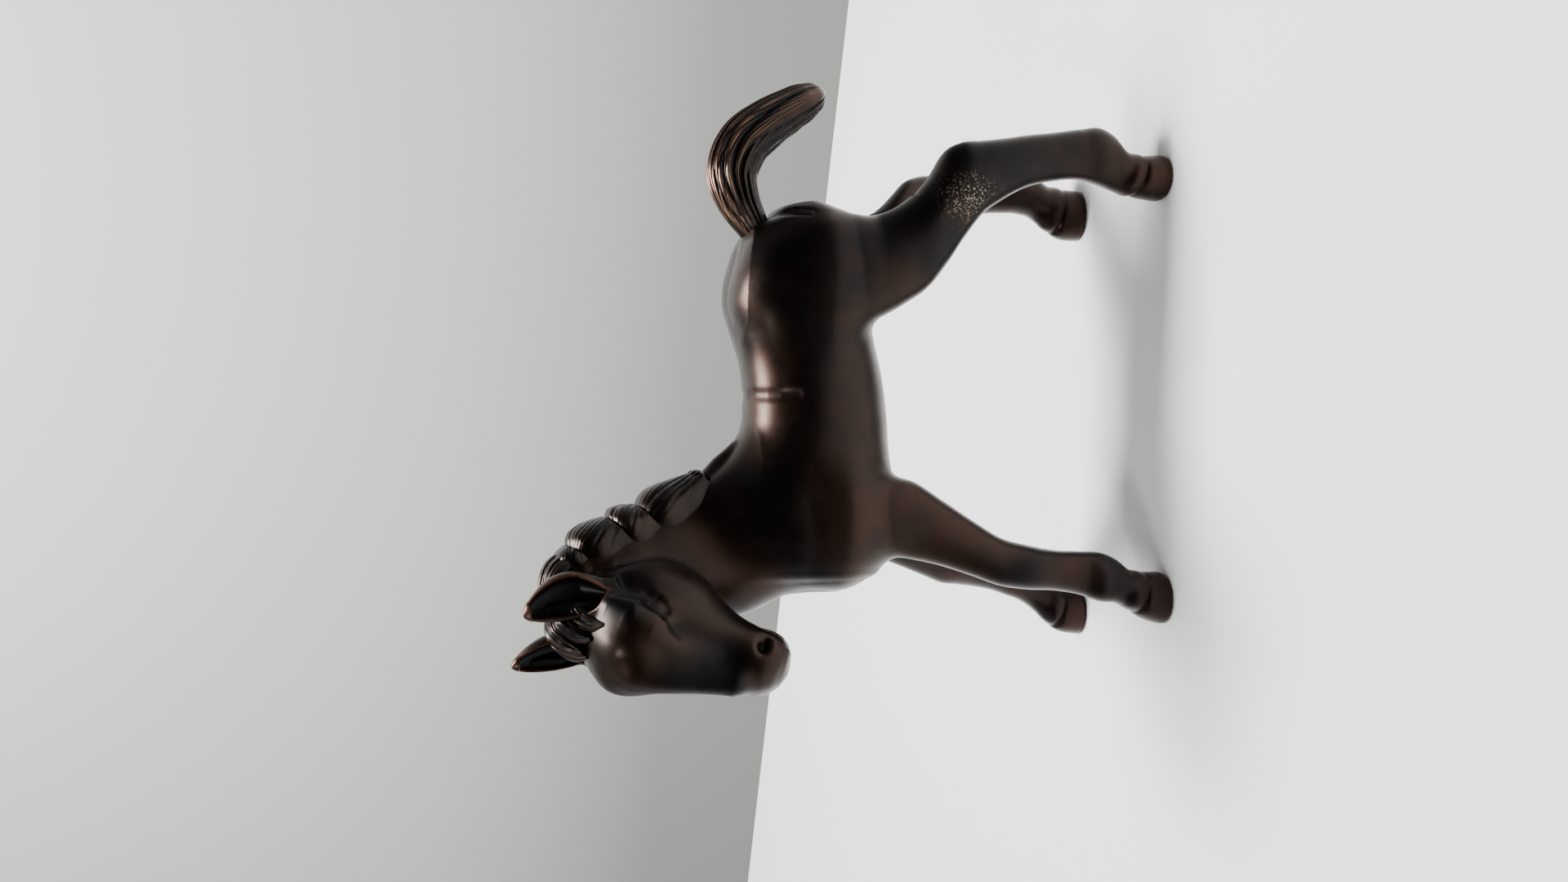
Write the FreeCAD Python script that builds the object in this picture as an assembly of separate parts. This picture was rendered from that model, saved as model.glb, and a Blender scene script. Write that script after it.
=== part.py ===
import FreeCAD, Part
import math, os
from FreeCAD import Vector

os.makedirs("parts", exist_ok=True)

# A standing foal cast in bronze in sections, which are pinned together.
# Millimetres. +Z is up, the foal looks towards -X, its left flank is on -Y.
# The sizes below are set out from the point on the ground midway between the four hooves. The finished foal is
# moved so that its origin is on the ground under the middle of its whole box.

# ---- driving sizes ----
OVERALL = 1.0            # multiplies every station of the body below
BOX_MIDDLE = (3.5, -0.9) # x, y of the middle of the whole foal, from midway between the hooves
WALL = 3.0               # thickness of the hollow barrel
RING_POINTS = 18         # points that each cross-section is drawn through
LEG_JOINT_Z = 47.5       # height of the seam between body and legs
LEG_SPIGOT_R = 2.7
LEG_SPIGOT_H = 5.5
LEG_PIN_R = 0.8
PIN_COVER = 1.0          # metal hammered over each end of a pin
NECK_SEAM = (-25.5, 0.0, 80.5)
NECK_SEAM_TILT = 18.0    # degrees that the neck seam leans back
NECK_SPIGOT_R = 5.0
NECK_SPIGOT_H = 4.5
NECK_PIN_R = 0.9
NECK_PIN_L = 13.0
HEAD_AT = (-39.9, -10.5, 100.5)   # middle of the head, between the eyes
HEAD_TURN = 45.0         # degrees that the head is turned to its left
HEAD_DIP = 65.0          # degrees that the nose points below level
HEAD_SPIGOT_R = 3.4
HEAD_SPIGOT_L = 15.5
HEAD_PIN_R = 0.8
HEAD_PIN_L = 10.0
EAR_LENGTH = 15.0
EAR_WIDTH = 3.7
EAR_PIN_R = 0.6
EAR_PIN_L = 6.0
TAIL_SPIGOT_R = 1.7
TAIL_SPIGOT_L = 6.5
TAIL_PIN_R = 0.7
TAIL_PIN_L = 10.0
PLUG_R = 1.2
PLUG_X = (-7.0, 13.0)
PLUG_Z = 65.5
HAIR_PIN_R = 0.6

# x, top, bottom, half width, height of the widest line
TORSO = [
    (-37.0, 64.0, 60.5, 1.5, 62.5), (-35.8, 68.5, 58.0, 6.0, 63.0), (-33.0, 73.5, 55.0, 9.0, 63.0),
    (-28.0, 77.0, 52.1, 11.0, 63.0), (-20.0, 79.0, 50.8, 11.8, 64.0), (-12.0, 79.5, 50.9, 12.0, 64.5),
    (-4.0, 78.5, 51.3, 12.0, 64.5), (4.0, 78.8, 52.3, 11.8, 65.0), (11.5, 80.5, 54.1, 11.8, 66.0),
    (17.5, 81.9, 55.5, 12.4, 67.5), (23.5, 80.5, 56.5, 12.2, 68.0), (29.0, 77.3, 59.5, 10.0, 68.0),
    (32.7, 73.7, 62.5, 7.0, 68.0), (34.6, 70.0, 66.0, 2.0, 68.0)]

# height, front x, back x, middle y, half width
LEFT_FORELEG = [
    (72.5, -24.0, -15.5, -4.5, 3.0), (64.0, -29.0, -12.9, -7.2, 5.3), (55.5, -28.8, -14.5, -8.6, 5.0),
    (49.5, -29.7, -15.2, -9.2, 4.6), (43.5, -31.1, -18.9, -10.2, 4.2), (37.5, -33.1, -22.9, -11.2, 3.9),
    (32.5, -34.9, -25.9, -12.0, 3.7), (27.2, -35.7, -27.4, -12.9, 3.7), (22.0, -36.0, -28.4, -13.6, 3.3),
    (17.0, -36.9, -28.7, -14.4, 3.2), (13.0, -38.3, -29.0, -15.0, 3.6), (10.0, -38.6, -30.3, -15.2, 3.5),
    (7.5, -39.7, -32.2, -15.3, 3.6), (4.5, -41.6, -32.8, -15.4, 4.1), (0.0, -43.1, -32.9, -15.5, 4.5)]
RIGHT_FORELEG = [
    (72.5, -24.0, -15.5, 4.5, 3.0), (64.0, -29.0, -12.9, 7.2, 5.3), (56.0, -29.4, -14.5, 8.4, 5.0),
    (49.8, -30.6, -15.7, 9.0, 4.6), (43.7, -32.6, -19.4, 10.2, 4.2), (37.5, -35.0, -24.7, 11.4, 3.8),
    (33.1, -36.7, -27.5, 12.3, 3.7), (29.5, -37.2, -28.7, 13.0, 3.7), (25.5, -37.8, -30.0, 13.7, 3.4),
    (21.5, -38.6, -31.0, 14.3, 3.2), (17.5, -39.9, -31.8, 14.8, 3.2), (14.2, -41.1, -32.2, 15.2, 3.5),
    (11.5, -42.6, -33.2, 15.4, 3.6), (8.5, -45.0, -35.9, 15.5, 3.5), (5.5, -47.6, -38.0, 15.6, 4.0),
    (0.0, -49.0, -38.7, 15.6, 4.4)]
LEFT_HINDLEG = [
    (77.0, 18.0, 27.0, -4.5, 2.5), (70.0, 10.8, 34.1, -6.8, 6.4), (63.0, 11.1, 34.2, -7.6, 6.6),
    (55.7, 14.3, 33.7, -8.6, 6.0), (50.5, 17.3, 36.1, -9.8, 5.2), (46.5, 20.3, 40.2, -10.8, 4.7),
    (43.5, 24.1, 45.2, -11.4, 4.3), (40.5, 28.7, 47.0, -12.0, 4.1), (36.7, 33.6, 47.5, -12.4, 3.9),
    (32.5, 36.7, 48.1, -12.8, 3.7), (28.0, 39.1, 48.9, -13.2, 3.4), (22.5, 40.6, 49.7, -13.7, 3.3),
    (17.0, 41.1, 50.6, -14.2, 3.3), (13.0, 40.3, 51.0, -14.5, 3.6), (10.5, 39.5, 49.8, -14.6, 3.6),
    (7.9, 38.8, 47.0, -14.8, 3.6), (4.5, 38.2, 46.3, -15.1, 4.1), (0.0, 37.7, 46.6, -15.4, 4.5)]
RIGHT_HINDLEG = [
    (77.0, 18.0, 27.0, 4.5, 2.5), (70.0, 11.3, 34.0, 6.8, 6.4), (63.0, 11.8, 34.1, 7.6, 6.6),
    (55.9, 14.9, 33.8, 8.6, 6.0), (50.8, 18.4, 36.0, 9.8, 5.2), (46.7, 22.0, 38.6, 10.8, 4.7),
    (44.1, 25.1, 41.2, 11.3, 4.3), (41.5, 28.9, 43.8, 12.2, 4.1), (38.5, 32.3, 45.2, 12.8, 4.0),
    (35.1, 35.2, 45.8, 13.2, 3.8), (29.5, 37.7, 46.5, 13.8, 3.5), (23.5, 38.8, 47.1, 14.3, 3.3),
    (18.5, 39.3, 47.8, 14.8, 3.3), (14.2, 39.4, 48.3, 15.2, 3.5), (11.2, 38.8, 47.8, 15.4, 3.6),
    (8.1, 36.9, 45.8, 15.5, 3.6), (4.9, 34.9, 45.2, 15.5, 4.0), (0.0, 34.3, 44.9, 15.5, 4.4)]

# middle x, y, z, half depth from throat to crest, half width, degrees that the section rises to the crest
NECK = [
    (-19.0, 0.0, 66.0, 13.5, 9.0, 20.0), (-24.8, 0.0, 76.5, 13.2, 8.6, 23.0), (-28.2, -0.5, 85.5, 12.6, 7.9, 26.0),
    (-29.7, -1.6, 93.5, 11.2, 7.3, 28.0), (-30.8, -2.8, 100.5, 9.6, 6.9, 30.0), (-31.7, -4.0, 106.7, 7.4, 6.4, 33.0),
    (-32.2, -5.0, 111.0, 4.0, 4.0, 36.0)]

# distance down the head, reach to the forehead side, reach to the jaw side, half width
HEAD = [
    (-12.0, 0.5, 4.5, 3.5), (-10.3, 4.0, 7.5, 6.2), (-7.0, 7.8, 9.2, 8.6), (-2.5, 10.6, 10.0, 9.8),
    (2.5, 10.6, 10.3, 9.8), (7.5, 9.0, 10.0, 8.9), (12.5, 7.4, 8.2, 7.3), (17.0, 6.4, 5.6, 5.9),
    (20.5, 5.8, 4.2, 5.2), (23.5, 4.7, 3.4, 4.5), (26.0, 2.6, 2.0, 2.8)]

# x, y, z, half thickness, half width
TAIL = [
    (27.0, 0.0, 73.9, 3.2, 3.0), (32.2, 0.0, 77.0, 3.7, 3.2), (36.6, 0.0, 79.5, 4.2, 3.5), (41.4, 0.0, 80.5, 4.6, 3.9),
    (46.5, 0.0, 78.5, 4.6, 4.1), (50.3, 0.0, 74.3, 4.3, 4.0), (53.3, 0.0, 69.8, 3.7, 3.6), (55.7, 0.0, 66.0, 2.9, 3.0),
    (57.0, 0.0, 63.5, 1.3, 1.5)]

# x, y, z, reach outwards, reach inwards, half width: the crest of hair, one swell to each lock
MANE = [
    (-34.2, -5.6, 114.1, 1.2, 1.2, 1.4), (-31.6, -5.0, 112.9, 2.4, 2.6, 3.2), (-28.8, -4.3, 110.5, 2.9, 3.0, 4.2),
    (-26.2, -3.6, 107.5, 2.4, 3.0, 4.0), (-23.8, -2.8, 104.4, 3.1, 3.1, 4.6), (-21.6, -2.1, 100.9, 2.4, 3.1, 4.3),
    (-19.5, -1.4, 97.5, 3.1, 3.1, 4.7), (-17.8, -0.9, 93.9, 2.6, 3.0, 4.4), (-16.3, -0.4, 90.2, 2.2, 2.6, 3.6),
    (-15.0, -0.1, 87.1, 1.5, 2.0, 2.6)]

# fraction of the ear's length, share of the full half width, thickness at the back, thickness at the front
EAR = [(-0.25, 0.60, 1.6, 1.4), (0.0, 0.80, 2.0, 1.6), (0.25, 1.00, 2.3, 1.3), (0.5, 0.96, 2.0, 1.0),
       (0.75, 0.66, 1.4, 0.7), (0.92, 0.34, 0.9, 0.5), (1.0, 0.10, 0.4, 0.3)]
LEFT_EAR_ROOT, LEFT_EAR_TIP = (-32.6, -8.4, 107.0), (-36.6, -13.0, 120.3)
RIGHT_EAR_ROOT, RIGHT_EAR_TIP = (-40.6, 0.2, 107.0), (-46.8, -2.6, 120.3)

# x, y, z, reach to the front, reach to the back, half width
FORELOCK = [(-37.2, -4.6, 106.0, 2.4, 2.4, 2.2), (-37.4, -4.4, 110.5, 2.6, 2.5, 2.4), (-37.8, -4.4, 114.0, 2.4, 2.3, 2.3),
            (-38.2, -4.6, 116.5, 1.6, 1.6, 1.7)]


def vec(p):
    return Vector(p[0], p[1], p[2]) * OVERALL


def scaled(row):
    return tuple(v * OVERALL for v in row)


def ring(centre, across, rise, reach):
    """The poles of one closed section; reach is (+across, -across, +rise, -rise)."""
    # a closed cubic curve runs a little inside its poles, so they are set out by this much
    spread = 6.0 / (4.0 + 2.0 * math.cos(2.0 * math.pi / RING_POINTS))
    poles = []
    for i in range(RING_POINTS):
        a = 2.0 * math.pi * i / RING_POINTS
        c, s = math.cos(a) * spread, math.sin(a) * spread
        poles.append(centre + across * (c * (reach[0] if c > 0 else reach[1]))
                     + rise * (s * (reach[2] if s > 0 else reach[3])))
    return poles


def skin(rings):
    """A closed solid: one smooth cubic surface over the rings, with a flat cap on each end."""
    count = len(rings)
    along_knots, around_knots = list(range(count - 2)), list(range(RING_POINTS + 1))
    along_mults = [4] + [1] * (count - 4) + [4]
    surface = Part.BSplineSurface()
    surface.buildFromPolesMultsKnots(rings, along_mults, [1] * (RING_POINTS + 1), along_knots, around_knots,
                                     False, True, 3, 3)
    side = surface.toShape()
    ends = [edge for edge in side.Edges if edge.isClosed() and not edge.isSeam(side)]
    caps = [Part.Face(Part.Wire([edge])) for edge in ends]
    shell = Part.makeShell([side] + caps)
    shell.sewShape()
    solid = Part.makeSolid(shell)
    if solid.Volume < 0:
        solid.reverse()
    return solid


def beyond(point, normal, size=400.0):
    """The half of space on the far side of a plane, as a large block."""
    block = Part.makeBox(size, size, size, Vector(-size / 2, -size / 2, 0))
    block.Placement = FreeCAD.Placement(point, FreeCAD.Rotation(Vector(0, 0, 1), normal))
    return block


def rod(start, end, radius):
    along = end - start
    return Part.makeCylinder(radius, along.Length, start, along)


def cross_pin(middle, along, length, radius):
    reach = along * (length * OVERALL / 2)
    return rod(middle - reach, middle + reach, radius * OVERALL)


def leg_skin(stations):
    rings = []
    for row in stations:
        z, front, back, y, half = scaled(row)
        reach = (back - front) / 2
        rings.append(ring(Vector((front + back) / 2, y, z), Vector(0, 1, 0), Vector(1, 0, 0), (half, half, reach, reach)))
    return skin(rings)


def torso_skin(stations, inset):
    rings = []
    for row in stations:
        x, top, bottom, half, middle = scaled(row)
        rings.append(ring(Vector(x, 0, middle), Vector(0, 1, 0), Vector(0, 0, 1),
                          (half - inset, half - inset, top - middle - inset, middle - bottom - inset)))
    return skin(rings)


def neck_skin():
    rings = []
    for row in NECK:
        x, y, z, depth, half = scaled(row[:5])
        a = math.radians(row[5])
        rings.append(ring(Vector(x, y, z), Vector(0, 1, 0), Vector(math.cos(a), 0, math.sin(a)), (half, half, depth, depth)))
    return skin(rings)


turn, dip = math.radians(HEAD_TURN), math.radians(HEAD_DIP)
ahead = Vector(-math.cos(turn), -math.sin(turn), 0)
leftward = Vector(math.sin(turn), -math.cos(turn), 0)
upward = Vector(0, 0, 1)
down_nose = ahead * math.cos(dip) - upward * math.sin(dip)
out_brow = ahead * math.sin(dip) + upward * math.cos(dip)


def head_point(down, out, left):
    return vec(HEAD_AT) + (down_nose * down + out_brow * out + leftward * left) * OVERALL


def head_skin():
    rings = []
    for row in HEAD:
        down, brow, jaw, half = scaled(row)
        rings.append(ring(vec(HEAD_AT) + down_nose * down, leftward, out_brow, (half, half, brow, jaw)))
    return skin(rings)


def swept_skin(stations):
    """Sections set square to the line through their middles; rows are x, y, z, out, in, half width."""
    middles = [vec(row) for row in stations]
    rings = []
    for i, row in enumerate(stations):
        before, after = middles[max(i - 1, 0)], middles[min(i + 1, len(middles) - 1)]
        along = (after - before).normalize()
        across = along.cross(Vector(0, 1, 0)).cross(along).normalize()
        rise = across.cross(along).normalize()
        if rise.z + rise.x < 0:
            rise = rise * -1
        out, inner, half = scaled(row[3:6])
        rings.append(ring(middles[i], across, rise, (half, half, out, inner)))
    return skin(rings)


def ear_parts(root, tip):
    """The ear's leaf with its cup, and the pin that holds it."""
    root, tip = vec(root), vec(tip)
    along = (tip - root).normalize()
    across = along.cross(out_brow).normalize()
    back = across.cross(along).normalize()
    if back.dot(out_brow) > 0:
        back = back * -1
    length, width = EAR_LENGTH * OVERALL, EAR_WIDTH * OVERALL
    leaf, cup = [], []
    for share, wide, thick_back, thick_front in EAR:
        centre = root + along * (length * share)
        half = width * wide
        leaf.append(ring(centre, across, back, (half, half, thick_back * OVERALL, thick_front * OVERALL)))
        if 0.1 < share < 0.95:
            forward = centre - back * (1.3 * OVERALL)
            cup.append(ring(forward, across, back, (half * 0.68, half * 0.68, 1.5 * OVERALL, 1.5 * OVERALL)))
    leaf_solid = skin(leaf).cut(skin(cup))
    pin = rod(root - along * (EAR_PIN_L * OVERALL * 0.7), root + along * (EAR_PIN_L * OVERALL * 0.3), EAR_PIN_R)
    return leaf_solid, pin


def save(name, shape):
    solids = shape.Solids
    out = solids[0] if len(solids) == 1 else Part.makeCompound(solids)
    out = out.copy()
    out.translate(Vector(-BOX_MIDDLE[0], -BOX_MIDDLE[1], 0) * OVERALL)
    out.exportStep("parts/%s.step" % name)
    print(name, len(solids), "solid(s)", round(out.Volume, 1), "mm3", "valid" if out.isValid() else "NOT VALID")


# ---- skins ----
barrel = torso_skin(TORSO, 0.0)
hollow = torso_skin(TORSO[3:11], WALL * OVERALL)
neck = neck_skin()
head = head_skin()
legs = {"left_foreleg": LEFT_FORELEG, "right_foreleg": RIGHT_FORELEG,
        "left_hindleg": LEFT_HINDLEG, "right_hindleg": RIGHT_HINDLEG}

# ---- body and legs ----
seam_z = LEG_JOINT_Z * OVERALL
above = beyond(Vector(0, 0, seam_z), Vector(0, 0, 1))
below = beyond(Vector(0, 0, seam_z), Vector(0, 0, -1))
seam_tilt = math.radians(NECK_SEAM_TILT)
seam_normal = Vector(-math.sin(seam_tilt), 0, math.cos(seam_tilt))
seam_point = vec(NECK_SEAM)
under_neck = beyond(seam_point, seam_normal * -1)
over_neck = beyond(seam_point, seam_normal)

outer = barrel
lower_legs, spigots, leg_pins = {}, {}, {}
for name, stations in legs.items():
    whole = leg_skin(stations)
    outer = outer.fuse(whole.common(above))
    # the seam's middle, between the two stations on either side of it
    for high, low in zip(stations, stations[1:]):
        if low[0] <= LEG_JOINT_Z < high[0]:
            t = (high[0] - LEG_JOINT_Z) / (high[0] - low[0])
            mid_x = (high[1] + high[2] + t * (low[1] + low[2] - high[1] - high[2])) / 2
            mid_y = high[3] + t * (low[3] - high[3])
            half = high[4] + t * (low[4] - high[4])
    foot = Vector(mid_x * OVERALL, mid_y * OVERALL, seam_z)
    spigots[name] = rod(foot - upward * 2.0, foot + upward * (LEG_SPIGOT_H * OVERALL), LEG_SPIGOT_R * OVERALL)
    lower_legs[name] = whole.common(below).fuse(spigots[name])
    side = -1.0 if mid_y < 0 else 1.0
    pin_z = upward * (LEG_SPIGOT_H * OVERALL * 0.55)
    leg_pins[name] = rod(foot + pin_z + Vector(0, side * (half - PIN_COVER) * OVERALL, 0),
                         foot + pin_z - Vector(0, side * (LEG_SPIGOT_R + 0.8) * OVERALL, 0), LEG_PIN_R * OVERALL)
outer = outer.fuse(neck.common(under_neck))
torso = outer.cut(hollow)

# ---- neck and head ----
neck_spigot = rod(seam_point + seam_normal * 2.0, seam_point - seam_normal * (NECK_SPIGOT_H * OVERALL), NECK_SPIGOT_R * OVERALL)
head_spigot = rod(head_point(-1.0, -4.0, 0.0), head_point(-1.0, -HEAD_SPIGOT_L, 0.0), HEAD_SPIGOT_R * OVERALL)
mane = swept_skin(MANE).common(over_neck).cut(head)
upper_neck = neck.common(over_neck).cut(head).cut(mane)
neck_outer = upper_neck
upper_neck = upper_neck.fuse(neck_spigot).cut(head_spigot)
head_casting = head.fuse(head_spigot)

# ---- hair, ears and tail ----
tail = swept_skin([row[:4] + (row[3], row[4]) for row in TAIL])
forelock = skin([ring(vec(row), leftward, ahead, tuple(v * OVERALL for v in (row[5], row[5], row[3], row[4])))
                 for row in FORELOCK])
left_ear, left_ear_pin = ear_parts(LEFT_EAR_ROOT, LEFT_EAR_TIP)
right_ear, right_ear_pin = ear_parts(RIGHT_EAR_ROOT, RIGHT_EAR_TIP)
crown = head.fuse(neck_outer).fuse(mane)
left_ear, right_ear = left_ear.cut(crown), right_ear.cut(crown)
forelock = forelock.cut(crown).cut(left_ear).cut(right_ear)
tail_root, tail_in = vec(TAIL[1]), (vec(TAIL[0]) - vec(TAIL[1])).normalize()
tail_spigot = rod(tail_root, tail_root + tail_in * (TAIL_SPIGOT_L * OVERALL), TAIL_SPIGOT_R * OVERALL)
tail = tail.cut(outer).fuse(tail_spigot)

# ---- pins, with metal hammered over their ends, and plugs dressed flush with the barrel ----
pins = {}
for name, pin in leg_pins.items():
    pins[name + "_pin"] = pin
    lower_legs[name] = lower_legs[name].cut(pin)
neck_pin_at = seam_point - seam_normal * (NECK_SPIGOT_H * OVERALL * 0.55)
pins["neck_pin"] = cross_pin(neck_pin_at, Vector(0, 1, 0), NECK_PIN_L, NECK_PIN_R)
upper_neck = upper_neck.cut(pins["neck_pin"])
head_pin_at = head_point(-1.0, -(HEAD_SPIGOT_L - 2.5), 0.0)
pins["head_pin"] = cross_pin(head_pin_at, leftward, HEAD_PIN_L, HEAD_PIN_R)
tail_pin_at = tail_root + tail_in * (TAIL_SPIGOT_L * OVERALL * 0.7)
pins["tail_pin"] = cross_pin(tail_pin_at, Vector(0, 1, 0), TAIL_PIN_L, TAIL_PIN_R)
tail = tail.cut(pins["tail_pin"])
pins["left_ear_pin"], pins["right_ear_pin"] = left_ear_pin, right_ear_pin
lock_root = vec(FORELOCK[0])
pins["forelock_pin"] = rod(lock_root - upward * (2.0 * OVERALL), lock_root + upward * (7.0 * OVERALL), HAIR_PIN_R * OVERALL)
for index, name in ((3, "upper_mane_pin"), (7, "lower_mane_pin")):
    hair = vec(MANE[index])
    inward = Vector(-math.cos(math.radians(30)), 0, -math.sin(math.radians(30)))
    pins[name] = rod(hair + inward * -0.8 * OVERALL, hair + inward * (5.5 * OVERALL), HAIR_PIN_R * OVERALL)
upper_neck = upper_neck.cut(pins["head_pin"])
head_casting = head_casting.cut(pins["head_pin"])
for name in ("left_ear_pin", "right_ear_pin", "forelock_pin"):
    head_casting = head_casting.cut(pins[name])
    upper_neck = upper_neck.cut(pins[name])
left_ear, right_ear = left_ear.cut(left_ear_pin), right_ear.cut(right_ear_pin)
forelock = forelock.cut(pins["forelock_pin"])
for name in ("upper_mane_pin", "lower_mane_pin"):
    mane, upper_neck = mane.cut(pins[name]), upper_neck.cut(pins[name])

plugs = {}
for x, place in zip(PLUG_X, ("shoulder", "loin")):
    for side, word in ((-1, "left"), (1, "right")):
        start = Vector(x, side * 6.0, PLUG_Z) * OVERALL
        end = Vector(x, side * 16.0, PLUG_Z) * OVERALL
        plugs["%s_%s_plug" % (word, place)] = rod(start, end, PLUG_R * OVERALL).common(torso)

# ---- sockets in the body ----
for name in legs:
    torso = torso.cut(spigots[name]).cut(pins[name + "_pin"])
torso = torso.cut(neck_spigot).cut(tail_spigot).cut(pins["neck_pin"]).cut(pins["tail_pin"])
for plug in plugs.values():
    torso = torso.cut(plug)

save("torso", torso)
save("neck", upper_neck)
save("head", head_casting)
save("mane", mane)
save("forelock", forelock)
save("left_ear", left_ear)
save("right_ear", right_ear)
save("tail", tail)
for group in (lower_legs, pins, plugs):
    for name, shape in group.items():
        save(name, shape)
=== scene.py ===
"""Looks of a small patinated bronze foal, built around its packed sections.

Shapes are worked out in millimetres and put into the meshes in metres.
+Z is up, the foal looks towards -X and its left flank is on -Y.
"""

import bpy
import numpy as np
from mathutils import Matrix, Vector


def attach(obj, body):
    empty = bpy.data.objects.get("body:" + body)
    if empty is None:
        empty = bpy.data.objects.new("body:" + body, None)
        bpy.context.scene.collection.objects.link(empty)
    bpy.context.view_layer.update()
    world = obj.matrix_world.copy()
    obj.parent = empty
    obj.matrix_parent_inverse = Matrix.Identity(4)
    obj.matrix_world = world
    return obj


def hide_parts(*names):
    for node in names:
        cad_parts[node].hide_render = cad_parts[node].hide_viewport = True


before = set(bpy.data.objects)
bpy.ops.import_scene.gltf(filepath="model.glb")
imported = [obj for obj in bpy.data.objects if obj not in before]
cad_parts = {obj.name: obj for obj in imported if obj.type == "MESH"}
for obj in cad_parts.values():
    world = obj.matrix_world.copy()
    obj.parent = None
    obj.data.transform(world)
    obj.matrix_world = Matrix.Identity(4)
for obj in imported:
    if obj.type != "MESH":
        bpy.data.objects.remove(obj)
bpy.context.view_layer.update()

MM = 0.001
MIDDLE = np.array([-3.5, 0.9, 0.0])   # from midway between the hooves to under the middle of the whole foal

# ---- the foal's measures ----
SEAM_Z = 47.5                 # seam between the body and each leg
NECK_SEAM_AT = np.array([-25.5, 0.0, 80.5])
NECK_SEAM_TILT = np.radians(18.0)
HEAD_AT = np.array([-39.9, -10.5, 100.5])
HEAD_TURN, HEAD_DIP = np.radians(45.0), np.radians(65.0)
NECK_AT = np.array([-28.2, 0.0, 85.5])
NECK_LEAN = np.radians(26.0)
ROUNDNESS = 2.15              # 2 is an ellipse, more is squarer

# x, top, bottom, half width, height of the widest line
BARREL = [
    (-34.2, 65.5, 61.6, 1.2, 63.4), (-33.2, 71.0, 56.6, 6.0, 63.3), (-31.0, 74.5, 54.2, 9.0, 63.2),
    (-28.0, 77.0, 52.2, 11.0, 63.3), (-20.0, 79.0, 50.8, 11.8, 64.0), (-12.0, 79.5, 50.9, 12.15, 64.5),
    (-4.0, 78.4, 51.3, 12.15, 64.5), (4.0, 78.6, 52.3, 11.8, 65.0), (11.5, 80.3, 54.1, 11.4, 66.0),
    (17.5, 81.7, 55.5, 11.4, 67.5), (23.5, 80.4, 56.5, 11.0, 68.0), (29.0, 77.3, 59.5, 9.2, 68.0),
    (31.6, 74.4, 62.2, 6.8, 68.0), (33.2, 71.0, 65.2, 3.0, 68.0)]
# height, front x, back x, middle y, half width
LEFT_FORELEG = [
    (0.0, -43.1, -32.9, -15.5, 4.5), (4.5, -41.6, -32.8, -15.4, 4.1), (7.5, -39.7, -32.2, -15.3, 3.6),
    (10.0, -38.6, -30.3, -15.2, 3.4), (13.0, -38.3, -29.0, -15.0, 3.6), (17.0, -36.9, -28.7, -14.4, 3.1),
    (22.0, -36.0, -28.4, -13.6, 3.2), (27.2, -35.7, -27.4, -12.9, 3.7), (32.5, -34.9, -25.9, -12.0, 3.7),
    (37.5, -33.1, -22.9, -11.2, 3.9), (43.5, -31.1, -18.9, -10.2, 4.2), (49.5, -29.7, -15.2, -9.2, 4.6),
    (55.5, -28.8, -14.5, -8.4, 4.9), (64.0, -28.0, -13.9, -7.0, 4.6),
    (70.5, -24.5, -16.5, -4.0, 2.6), (72.5, -21.5, -18.5, -3.4, 0.6)]
RIGHT_FORELEG = [
    (0.0, -49.0, -38.7, 15.6, 4.4), (5.5, -47.6, -38.0, 15.6, 4.0), (8.5, -45.0, -35.9, 15.5, 3.5),
    (11.5, -42.6, -33.2, 15.4, 3.5), (14.2, -41.1, -32.2, 15.2, 3.5), (17.5, -39.9, -31.8, 14.8, 3.1),
    (21.5, -38.6, -31.0, 14.3, 3.2), (25.5, -37.8, -30.0, 13.7, 3.4), (29.5, -37.2, -28.7, 13.0, 3.7),
    (33.1, -36.7, -27.5, 12.3, 3.7), (37.5, -35.0, -24.7, 11.4, 3.8), (43.7, -32.6, -19.4, 10.2, 4.2),
    (49.8, -30.6, -15.7, 9.0, 4.6), (56.0, -29.4, -14.5, 8.4, 4.9), (64.0, -28.0, -13.9, 7.0, 4.6),
    (70.5, -24.5, -16.5, 4.0, 2.6), (72.5, -21.5, -18.5, 3.4, 0.6)]
LEFT_HINDLEG = [
    (0.0, 37.7, 46.6, -15.4, 4.5), (4.5, 38.2, 46.3, -15.1, 4.1), (7.9, 38.8, 47.0, -14.8, 3.5),
    (10.5, 39.5, 49.8, -14.6, 3.5), (13.0, 40.3, 51.0, -14.5, 3.6), (17.0, 41.1, 50.6, -14.2, 3.2),
    (22.5, 40.6, 49.7, -13.7, 3.2), (28.0, 39.1, 48.9, -13.2, 3.4), (32.5, 36.7, 48.1, -12.8, 3.7),
    (36.7, 33.6, 47.5, -12.4, 3.9), (40.5, 28.7, 47.0, -12.0, 4.1), (43.5, 24.1, 45.2, -11.4, 4.3),
    (46.5, 20.3, 40.2, -10.8, 4.7), (50.5, 17.3, 36.1, -9.8, 5.2), (55.7, 14.3, 33.4, -8.6, 5.8),
    (63.0, 11.6, 33.6, -7.4, 6.0), (69.0, 13.5, 32.0, -5.6, 4.9),
    (74.0, 18.5, 27.5, -3.4, 2.2), (75.5, 21.5, 24.5, -2.8, 0.6)]
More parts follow.
